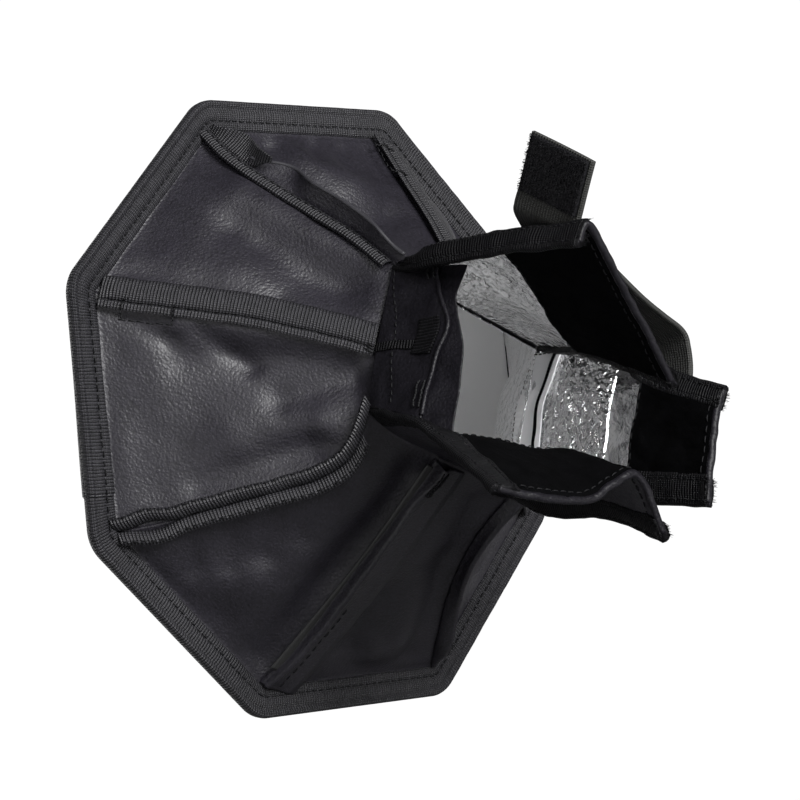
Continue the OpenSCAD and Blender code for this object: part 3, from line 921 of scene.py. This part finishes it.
def flap(f):
    grid = flap_surface(f)
    up = normals(grid)
    flip = oriented(grid, OUTSIDE[f])
    if flip:
        up = -up
    n, m = grid.shape[:2]
    s = np.linspace(0, 1, n)[:, None] * np.ones((1, m))
    free = smooth(s / 0.15)
    rough = free * (0.8 * noise_field(grid, 14, f) + 0.4 * noise_field(grid, 5, f + 30))
    grid = grid + up * rough[..., None]
    body = f"neck_flap_{f}"
    cloth = sheet_object(f"cloth_flap_{f}", grid, "black_nylon", 0.5, 0.0, flip=flip)
    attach(cloth, body)
    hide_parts(f"flap_{f}")
    stop = int(0.7 * (n - 1))
    hammer = hammer_values(f, s[:stop], grid[:stop])
    lining = sheet_object(f"silver_flap_{f}", grid[:stop], "silver_lining", 0.25, -0.35, flip=flip, values=hammer)
    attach(lining, body)
    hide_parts(f"flap_lining_{f}")
    first, last = PILE_FROM[f]
    left, right = PILE_SIDES[f]
    cells, ups = band(grid, up, range(n), left, right, 76)
    share = np.linspace(first, last, 76) + 0.0025 * np.sin(np.linspace(0, 23, 76))
    rows = np.linspace(0, 1, 36)[:, None] * (n - 1.6 - share * (n - 1))[None, :] + share[None, :] * (n - 1)
    part, part_up = np.empty((36, 76, 3)), np.empty((36, 76, 3))
    for i in range(76):
        for c in range(3):
            part[:, i, c] = np.interp(rows[:, i], np.arange(n), cells[:, i, c])
            part_up[:, i, c] = np.interp(rows[:, i], np.arange(n), ups[:, i, c])
    fuzz = 0.16 * noise_field(part, 1.8, f + 60) + 0.12 * noise_field(part, 6, f + 61)
    pile = sheet_object(f"pile_{f}", part + part_up * fuzz[..., None], "loop_pile", 1.0, -1.35, flip=flip)
    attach(pile, body)
    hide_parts(f"loop_band_{f}")
    for side in ("left", "right"):
        edge_tape(f, side, grid, up, flip)
    threads = FLAP_THREADS[f]
    sew(threads, grid, up, np.s_[int(0.965 * (n - 1)), 2:m - 2], 0.55, 2.8)
    for j in (1, -3):
        threads.row(part[j] - part_up[j] * 1.4, -part_up[j], 3.0, radius=0.2)
    end, end_up, out = grid[-1, 1:-1], up[-1, 1:-1], unit(grid[-1, 1:-1] - grid[-3, 1:-1])
    rings = np.swapaxes(np.array([end + end_up * y + out * x for x, y in HEM_PROFILE]), 0, 1)
    waver = noise_field(rings, 3, f + 77)[..., None]
    order = slice(None) if flip else slice(None, None, -1)
    uv = ring_uv(rings)[:, order]
    # The hem takes the darker copy of the nylon: painted shade
    hem = swept(f"hem_{f}", (rings + OUT * 0.35 * waver)[:, order], "black_nylon", uv, look="shaded_nylon")
    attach(hem, body)


def hammer_values(f, s, grid):
    """How deeply the lining is embossed: smooth next to the pile, with the hammered part behind it."""
    if f == 3:
        return np.where(s > 0.47, 0.3, np.where(s > 0.36, 1.8, 1.3 + 0.7 * noise_field(grid, 9, 12)))
    return np.full(s.shape, 0.6) + 0.3 * noise_field(grid, 12, f)


def ring_uv(rings):
    """UV of a swept band: length along its first line in x, length around its profile in y."""
    n, m = rings.shape[:2]
    along, around = run_length(rings[:, 0]), run_length(rings[n // 2])
    return np.stack([np.repeat(along[:, None], m, axis=1), np.repeat(around[None], n, axis=0)], axis=-1)


TAPE_NODES = {(2, "left"): "flap_2_edge_left", (2, "right"): "flap_2_edge_right", (3, "left"): "flap_3_edge_high",
              (3, "right"): "flap_3_edge_low", (4, "left"): "flap_4_edge_left", (4, "right"): "flap_4_edge_right"}


def edge_tape(f, side, grid, up, flip):
    """Ribbed tape folded over one side of a flap, sewn with two rows of stitches on each face."""
    n = grid.shape[0]
    if side == "right":
        grid, up = grid[:, ::-1], up[:, ::-1]
    line = grid[:, 0]
    cross = unit(grid[:, 0] - grid[:, 1])
    outer, inner = TAPE_WIDTH[(f, side)]
    outline = [(outer, 0.45), (outer, 0.85), (outer * 0.86, 1.1), (outer * 0.78, 0.85), (outer * 0.7, 1.15),
               (outer * 0.4, 1.25), (outer * 0.2, 1.2), (0.9, 0.95), (0, 1.2), (-0.8, 0.8), (-1.05, 0.0), (-0.8, -0.9),
               (0, -1.5), (0.9, -1.35), (inner * 0.3, -1.65), (inner * 0.6, -1.7), (inner * 0.72, -1.65),
               (inner * 0.8, -1.4), (inner * 0.88, -1.65), (inner, -1.35), (inner, -0.5), (inner * 0.5, 0.1)]
    grooves = {3: 1, 7: 1, 13: -1, 17: -1}
    rings = []
    # The tape of flap 3's upper side is folded outwards over the first half of its length
    narrow = (f, side) == (3, "left")
    for j in range(n):
        part = 0.2 + 0.8 * smooth((j / n - 0.45) / 0.15) if narrow else 1.0
        wob = 0.45 * wave_noise(line[j], 7, f + 3)
        tuft = 1.1 * smooth((j / n - 0.93) / 0.07) * (0.6 + 0.5 * wave_noise(line[j], 2, 5))
        lump = 0.3 * wave_noise(line[j], 3.5, f + 8) + tuft
        ring = []
        for x, y in outline:
            reach = (x + wob * 0.7) * (part if y < 0.2 else 1.0)
            base, normal, _ = along_row(grid[j], up[j], max(reach, 0))
            if x <= 0.95:
                base, normal = line[j] + cross[j] * (wob - x), up[j, 0]
            ring.append(base + normal * (y + (lump if y > 0.7 else -lump * 0.6 if y < -1.2 else 0) * 0.7))
        rings.append(ring)
    rings = np.array(rings)
    rings[0] = rings[0] * 0.6 + rings[1] * 0.4
    order = slice(None, None, -1) if (side == "left") == flip else slice(None)
    uv = ring_uv(rings)[:, order]
    # The tape takes the darker copy of the ribbed tape: painted shade
    o = swept(f"tape_{f}_{side}", rings[:, order], "ribbed_binding", uv, look="shaded_ribbed")
    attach(o, f"neck_flap_{f}")
    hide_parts(TAPE_NODES[(f, side)])
    for i, sign in grooves.items():
        j = n // 2 if narrow and sign < 0 else 3
        FLAP_THREADS[f].row(rings[j:, i] + up[j:, 2] * sign * 0.08, sign * up[j:, 2], 2.5, 0.66, 0.2)
    way = unit(line[-1] - line[-3])
    for part in (rings[-1, 1:8], rings[-1, 12:19]):
        FLAP_THREADS[f].fray(part, way, 1.8, 30)


for flap_number in (2, 3, 4):
    flap(flap_number)


# How far the short flap's outer ply reaches down the inner one, from its upper side to its lower side
OUTER_PLY_SHARE = [(0, 0.6), (0.09, 0.65), (0.24, 0.78), (0.5, 0.9), (0.66, 0.77), (0.94, 0.72), (1, 0.72)]


def short_flap():
    """Flap 1: an outer ply that ends in a corded edge, over an inner ply that stands a little longer."""
    grid = flap_surface(1, 60, 70)
    up = normals(grid)
    flip = oriented(grid, OUTSIDE[1])
    if flip:
        up = -up
    n, m = grid.shape[:2]
    s = np.linspace(0, 1, n)[:, None] * np.ones((1, m))
    rough = smooth(s / 0.2) * (noise_field(grid, 12, 71) + 0.4 * noise_field(grid, 5, 72))
    grid = grid + up * rough[..., None]
    # Both plies and the corded edge of flap 1 take the darker, duller copy of the nylon: painted shade, and flap 1's
    # plainer cloth
    inner = sheet_object("cloth_flap_1_inner", grid, "black_nylon", 0.4, 0.0, flip=flip, look="shaded_nylon")
    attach(inner, "neck_flap_1")
    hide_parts("flap_1", "flap_1_hem")
    hammer = np.ones((n - 1, m))
    lining = sheet_object("silver_flap_1", grid[:-1], "silver_lining", 0.25, -0.4, flip=flip, values=hammer)
    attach(lining, "neck_flap_1")
    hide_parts("flap_lining_1")
    share = curve(OUTER_PLY_SHARE, np.linspace(0, 1, m))
    outer = np.empty_like(grid)
    for i in range(m):
        t = np.linspace(0, share[i], n) * (n - 1)
        j = np.minimum(t.astype(int), n - 2)
        f = (t - j)[:, None]
        outer[:, i] = grid[j, i] * (1 - f) + grid[j + 1, i] * f + up[j, i] * (1.0 + 0.5 * np.linspace(0, 1, n)[:, None])
    ply = sheet_object("cloth_flap_1_outer", outer, "black_nylon", 0.4, 0.0, flip=flip, look="shaded_nylon")
    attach(ply, "neck_flap_1")
    edge = even(outer[-1, 3:m - 2] + up[-1, 3:m - 2] * 0.4, 80)
    bead = Threads("corded_edge_flap_1", "neck_flap_1", "black_nylon", "shaded_nylon")
    bead.tube(edge, np.full(80, 0.7), 10)
    bead.build()
    row = np.array([outer[int((0.08 + 0.36 * t) * n), int(2 + t * (m - 6))] for t in np.linspace(0, 1, 40)])
    lift = np.tile(up[5, m // 2], (40, 1))
    FLAP_THREADS[1].row(row + lift * 0.45, lift, 2.6)
    for name, r0, r1, c0, c1, thick in (("tape_end_flap_1", 0.02, 0.6, 0.575, 0.635, 0.5),
                                        ("loop_band_flap_1", 0.6, 0.9, 0.44, 0.66, 0.7)):
        piece = outer[int(r0 * n):int(r1 * n), int(c0 * m):int(c1 * m) + 1]
        uv = arc_uv(piece) if name.startswith("loop") else arc_uv(piece)[..., ::-1]
        # These strips take the darker copy of the ribbed tape: painted shade
        strip = sheet_object(name, piece, "ribbed_binding", thick, 0.4, uv=uv, flip=flip, look="shaded_ribbed")
        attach(strip, "neck_flap_1")
    for i0, i1 in ((2, 10), (m - 14, m - 4)):
        for shift in (-1.0, 1.2):
            tack = outer[-4, i0:i1] + up[-4, i0:i1] * 0.9 + unit(outer[-1, i0] - outer[-9, i0]) * (shift - 1)
            FLAP_THREADS[1].row(tack, up[-4, i0:i1], 0.8, 1.2, 0.35, 0.15)


short_flap()

# ---- tapes and fins on the seams ----


def seam_strip(name, k, v0, v1, section, steps=150, slot="ribbed_binding", thick=0.55, waver=0.35, seed=0):
    """A strip along seam k. section(v, s) gives its points across, as [sideways, outwards]; s is its length so far."""
    v = np.linspace(v0, v1, steps)
    line = seam_curve(k, v)
    s = run_length(line)
    side, out, _ = seam_frame(k)
    rows, uvs = [], []
    for i in range(steps):
        pts = np.array(section(v[i], s[i]), float)
        wob = waver * wave_noise(line[i], 7, k + seed)
        rows.append([line[i] + side * (q[0] + wob) + out * (q[1] + 0.5 * wob) for q in pts])
        uvs.append(np.stack([np.full(len(pts), s[i]), run_length(pts)], axis=1))
    grid = np.array(rows)
    flip = (normals(grid)[steps // 2, grid.shape[1] // 2] @ out) < 0
    o = sheet_object(name, grid, slot, thick, 0.0, uv=np.array(uvs), flip=flip)
    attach(o, "shell")
    return o, grid, normals(grid) * (-1 if flip else 1)


def flat_tape(k, low=-5.2, high=5.0, groove=2.3):
    """Flat tape on a middle seam, with the springy rib under its broad side and a stitched narrow side."""
    across = np.linspace(low, high, 22)

    def section(v, s):
        end = smooth(s / 4) * 0.6 + 0.4
        pts = []
        for t in across:
            if t < groove:
                x = (t - low) / (groove - low)
                h = 0.7 + 1.4 * end * math.sin(math.pi * min(max(x, 0), 1)) ** 0.6
            else:
                h = 0.75 + 0.35 * math.sin(math.pi * (t - groove) / (high - groove))
            pts.append((t, h - 0.3 if abs(t - groove) < 0.4 else h))
        return pts
    o, grid, up = seam_strip(f"rib_pocket_{k}", k, 0.02, 0.99, section)
    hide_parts(f"rib_tape_{k}")
    sew(SHELL_THREADS, grid, up, np.s_[:, int(np.argmin(abs(across - groove)))], 0.6, 2.9)


def pocket_stitches(k):
    """The black stitches that close a rib's pocket near the rim, and the tack at its other end."""
    side, out, way = seam_frame(k)
    length = np.linalg.norm(seam_ends(k)[1] - seam_ends(k)[0])

    def at(s, t, h):
        return seam_curve(k, np.array(s / length)) + side * t + out * h
    for s in (9.5, 25.5):
        path = np.array([at(s + 0.4 * math.sin(t), t, 1.9 if abs(t) < 5 else 0.8)
                         for t in np.linspace(-4.8, 8.2, 16)])
        SHELL_THREADS.row(path, np.tile(out, (16, 1)), 1.5, 0.8, 0.3, 0.2)
        if s < 12:
            SHELL_THREADS.row(path[:9] + way * 0.8, np.tile(out, (9, 1)), 1.5, 0.8, 0.3, 0.25)
    path = np.array([at(s, 8.2, 0.7) for s in np.linspace(8.5, 26.5, 20)])
    SHELL_THREADS.row(path, np.tile(out, (20, 1)), 2.6, 0.75, 0.27, 0.2)
    for j in range(9):
        t = -4.4 + j
        a = at(length - 3.4 + random.uniform(-0.6, 0.4), t, 1.8)
        b = at(length - 1.2 + random.uniform(-0.4, 0.8), t + 0.8, 1.6)
        SHELL_THREADS.stitch(a, b, out, 0.3)


def seam_6():
    """The pocket stands up as a narrow ridge, steep towards seam 7 and gentle towards seam 5."""
    def ridge(v, s):
        h = 1.6 + 3.2 * math.sin(math.pi * min(v * 1.1, 1)) ** 0.7 + 4.2 * smooth((v - 0.8) / 0.17)
        sway = 0.8 * math.sin(v * 8)
        steep = [(-2.4, -0.3), (-1.5, 0.4), (-1.2, h * 0.5), (-1.0, h * 0.92), (-0.6, h + 0.2), (-0.1, h + 0.1),
                 (0.3, h * 0.86), (1.6, h * 0.66)]
        return [(x + sway, y) for x, y in steep] + [(3.8, h * 0.42), (6.2, h * 0.2), (9.0, h * 0.05), (12.0, -0.6)]
    o, grid, up = seam_strip("rib_pocket_6", 6, 0.012, 0.985, ridge, slot="black_nylon", steps=200, thick=0.4)
    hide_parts("rib_tape_6")
    sew(SHELL_THREADS, grid, up, np.s_[3:80, 8], 0.45, 3.0)
    for i in (4, 5, 7):
        sew(SHELL_THREADS, grid, up, np.s_[176:198, i], 0.5, 1.3, 0.9, 0.3)


def seam_7():
    """Two plies that part into an open slit near the rim."""
    def gap(s):
        return 0.35 + 1.6 * math.exp(-((s - 11) / 6.0) ** 2)

    def upper(v, s):
        g = gap(s)
        return [(-g, 0.1), (-g - 0.5, 0.9), (-g - 1.6, 1.7), (-g - 3.0, 2.3), (-g - 3.7, 2.3), (-g - 3.9, 1.7)]

    def lower(v, s):
        g = gap(s)
        return [(g, 0.1), (g + 0.4, 1.0), (g + 1.4, 1.9), (g + 2.6, 2.4), (g + 3.3, 2.2), (g + 3.5, 1.5)]
    o, grid, up = seam_strip("seam_7_ply_a", 7, 0.0, 1.0, upper)
    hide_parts("corner_fin_7")
    sew(SHELL_THREADS, grid, up, np.s_[:, 4], 0.5, 2.8)
    _, grid, up = seam_strip("seam_7_ply_b", 7, 0.0, 0.93, lower, seed=4)
    sew(SHELL_THREADS, grid, up, np.s_[:, 3], 0.5, 2.8)


def seam_1():
    """A narrow ply lies towards seam 8, and a tall one stands and opens out wide near the rim."""
    def lying(v, s):
        return [(0.0, 0.1), (0.6, 0.9), (1.8, 1.3), (3.2, 1.3), (3.9, 0.9), (4.0, 0.3)]

    def stand(v, s, q):
        opening = math.exp(-((s - 13) / 8.0) ** 2)
        h = (3.0 + 4.8 * smooth(s / 14)) * (1 - 0.3 * smooth((v - 0.85) / 0.15)) * (1 - 0.42 * opening)
        lean = -1.0 - 6.5 * opening + 0.7 * math.sin(s / 7)
        return lean * q ** 0.7 - 0.2, h * q

    def standing(v, s):
        return [stand(v, s, q) for q in np.linspace(0, 1, 12)]

    def opened(v, s):
        cover = 0.3 + 0.7 * smooth((29 - s) / 8)
        return [(x, y + 0.1) for x, y in (stand(v, s, q) for q in np.linspace(1.02 - cover, 1.02, 12))]
    o, grid, up = seam_strip("seam_1_ply_a", 1, 0.0, 0.98, lying)
    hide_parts("corner_fin_1")
    sew(SHELL_THREADS, grid, up, np.s_[:, 2], 0.5, 2.8)
    # The standing ply takes the plain nylon, not the ribbed tape, so that its face reads darker: painted shade
    _, grid, up = seam_strip("seam_1_ply_b", 1, 0.24, 1.04, standing, slot="black_nylon", seed=3)
    seam_strip("seam_1_opening", 1, 0.0, 0.34, opened, seed=3, thick=0.6)
    bead = Threads("seam_1_edge", "shell", "ribbed_binding")
    edge = even(grid[::5, -1] + up[::5, -1] * 0.25, 130)
    bead.tube(edge, 0.62 + 0.1 * noise_field(edge, 5, 6), 8)
    bead.build()


def bound_fin(k, slot):
    def fin(v, s):
        h = 3.6 * smooth(s / 12) + 0.6
        lean = 1.6 * math.sin(v * 7)
        left = [(0.55 + lean * q * q, h * q) for q in np.linspace(0, 1, 9)]
        right = [(-0.55 + lean * q * q, h * q) for q in np.linspace(1, 0, 9)]
        return left + [(lean, h + 0.5)] + right
    o, grid, up = seam_strip(f"seam_{k}_fin", k, 0.01, 0.99, fin, slot=slot, thick=0.4)
    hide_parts(f"corner_fin_{k}")
    sew(SHELL_THREADS, grid, up, np.s_[:, 4], 0.5, 2.8)


for seam in (2, 4, 8):
    flat_tape(seam)
    pocket_stitches(seam)
seam_6()
seam_7()
seam_1()
bound_fin(3, "ribbed_binding")
bound_fin(5, "black_nylon")

# ---- strap ----

STRAP_MIDDLE = [(37.8, -14, 51), (38, -4, 51), (38.1, 5, 51), (37.3, 11.5, 51), (34.6, 17.0, 51.2), (31, 20.2, 51.5),
                (22, 21.6, 51.6), (11, 22.8, 52.2), (-1, 25.2, 53), (-14, 27.6, 55), (-24, 29.8, 57.5),
                (-31.5, 30.8, 61)]
STRAP_END_WAY = np.array((-0.4, 0.75, 0.52))
STRAP_END_SIDE = np.array((0.25, -0.45, 0.85))
STRAP_END_LEN = 24.0
STRAP_W = 25.0
STRAP_T = 1.3
STRAP_CUT = (-4, 25.7, 53.3)
PAD_LEN = 18.0


def strap():
    turn = np.array(STRAP_MIDDLE[-1], float)
    tail = [tuple(turn + unit(STRAP_END_WAY) * reach * STRAP_END_LEN) for reach in (0.3, 0.55, 0.8, 1.0)]
    points = STRAP_MIDDLE + tail
    centre = even([neck(*q) for q in points], 240)
    end_side = unit(neck(*STRAP_END_SIDE))
    s = np.linspace(0, 1, 240)
    bend = smooth((s - 0.58) / 0.24)[:, None]
    side = unit(OUT * (1 - bend) + end_side * bend)
    way = unit(np.gradient(centre, axis=0))
    side = unit(side - way * np.sum(side * way, axis=1, keepdims=True))
    across = np.linspace(-0.5, 0.5, 26)
    grid = centre[:, None] + side[:, None] * (across * STRAP_W)[None, :, None]
    up = normals(grid)
    if up[60, 13] @ (UP + ACROSS) < 0:
        up = -up
    cup = 0.5 * np.cos(across * math.pi)[None, :] * np.ones((240, 1))
    grid = grid + up * (cup + 0.25 * noise_field(grid, 12, 80))[..., None]
    length = run_length(centre)
    uv = np.stack(np.meshgrid(length, across * STRAP_W, indexing="ij"), axis=-1)
    flip = (normals(grid)[60, 13] @ up[60, 13]) < 0
    cut = int(np.argmin(np.linalg.norm(centre - neck(*STRAP_CUT), axis=1)))
    first = sheet_object("strap_root_part", grid[:cut + 1], "elastic", STRAP_T, 0.0, uv=uv[:cut + 1], flip=flip)
    second = sheet_object("strap_free_part", grid[cut:], "elastic", STRAP_T, 0.0, uv=uv[cut:], flip=flip)
    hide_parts("strap_root", "strap_band")
    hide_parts("strap_end")
    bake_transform(first)
    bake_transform(second)
    # Hook pad on the loose end's inner face
    stop = 239
    start = int(np.searchsorted(length, length[-1] - PAD_LEN))
    part = grid[start:stop, 1:-1]
    fuzz = 0.25 * noise_field(part, 1.1, 90)
    under = part - up[start:stop, 1:-1] * (fuzz + 0.2)[..., None]
    pad = sheet_object("hook_pad", under, "hook_tape", 0.9, -0.95, flip=flip)
    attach(pad, "strap_tail")
    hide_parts("hook_patch")
    hooks = Threads("hook_fibres", "strap_tail", "hook_tape")
    n, m = part.shape[:2]
    inner = up[start:stop, 1:-1]
    for _ in range(2600):
        j, i = random.randrange(n), random.randrange(m)
        root = part[j, i] - inner[j, i] * 1.0
        bend = np.array([random.uniform(-0.5, 0.5) for _ in range(3)])
        tip = root - inner[j, i] * random.uniform(0.4, 0.9) + bend
        hooks.tube([root, (root + tip) / 2 - inner[j, i] * 0.3, tip], [0.1, 0.09, 0.05], 3)
    hooks.build()
    rim_row, rim_up = (np.concatenate([q[start:stop, 2], q[stop - 2, 2:-2], q[start:stop, -3][::-1],
                                       q[start, 2:-2][::-1]]) for q in (grid, up))
    tail_threads = Threads("tail_threads", "strap_tail")
    tail_threads.row(rim_row + rim_up * (STRAP_T + 0.05), rim_up, 2.4)
    tail_threads.row(rim_row - rim_up * 1.25, -rim_up, 2.4, radius=0.16)
    tail_threads.build()
    for a0, a1 in ((3, 22), (22, 3)):
        cross_path = np.array([grid[int(4 + 34 * t), int(a0 + (a1 - a0) * t)] for t in np.linspace(0, 1, 30)])
        cross_up = np.tile(up[20, 13], (30, 1))
        FLAP_THREADS[3].row(cross_path + cross_up * (STRAP_T + 0.05), cross_up, 2.4)
    for j in (3, 40):
        FLAP_THREADS[3].row(grid[j, 2:24] + up[j, 2:24] * (STRAP_T + 0.05), up[j, 2:24], 2.4)


strap()


# ---- white patch and seam edges inside, with painted shade at the seam's edge ----

def seam_reach(b):
    """How far out the seam beside the white patch lies, over the neck's height."""
    return 8.4 - 4.2 * np.sin(np.pi * np.clip((b + 19) / 41.5, 0, 1))


def lining_patch():
    m = 60
    rows = []
    for off in np.linspace(2.6, -9.6, 48):
        row = []
        for b in np.linspace(22.5, -19, m):
            d = seam_reach(b) + off
            a = 32.9 - 0.25 * math.sin(b * 0.4) + 0.04 * min(d, 0)
            ripple = 0.28 * math.sin(b * 3.1 + 0.5 * math.sin(b)) * smooth((-off - 5) / 4)
            row.append(neck(a + ripple, b, d))
        rows.append(row)
    grid = np.array(rows)
    flip = oriented(grid, -ACROSS)
    o = sheet_object("white_patch", grid, "white_cloth", 0.4, 0.0, flip=flip)
    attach(o, "shell")
    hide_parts("lining_patch")
    up = normals(grid) * (-1 if flip else 1)
    SHELL_THREADS.row(grid[12:, 1] + up[12:, 1] * 0.4, up[12:, 1], 1.8)
    SHELL_THREADS.row(grid[-2] + up[-2] * 0.4, up[-2], 2.0, radius=0.12)
    # The seam's edge as a tube in the near-black pile: the edge itself, with painted shade of the gap beside it
    edge = Threads("inner_seam_edge_and_shade", "shell", look="loop_pile")
    path = grid[10, :] + up[10, :] * 0.5
    waver = noise_field(path, 5, 4)
    edge.tube(path + OUT * waver[:, None] * 0.3, 0.6 + 0.15 * waver, 7)
    edge.build()


lining_patch()


def springy_ribs():
    """Plastic strips in the pockets of seams 2, 4, 6 and 8."""
    for k in (2, 4, 6, 8):
        def strip(v, s):
            h = 0.15 if k != 6 else 0.4
            return [(t, h) for t in np.linspace(-3.6, 1.2, 6)]
        o, _, _ = seam_strip(f"springy_rib_{k}", k, 0.08, 0.96, strip, slot="rib_plastic", thick=0.5, waver=0)
        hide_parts(f"rib_{k}")


springy_ribs()
frame["nodes"]["rim_frame"].data.materials.clear()
frame["nodes"]["rim_frame"].data.materials.append(MATERIAL["frame_plastic"])

stitches = SHELL_THREADS.build()
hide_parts("rib_stitches")
for f, threads in FLAP_THREADS.items():
    sewn = threads.build()
    if f == 3:
        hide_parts("strap_stitches")
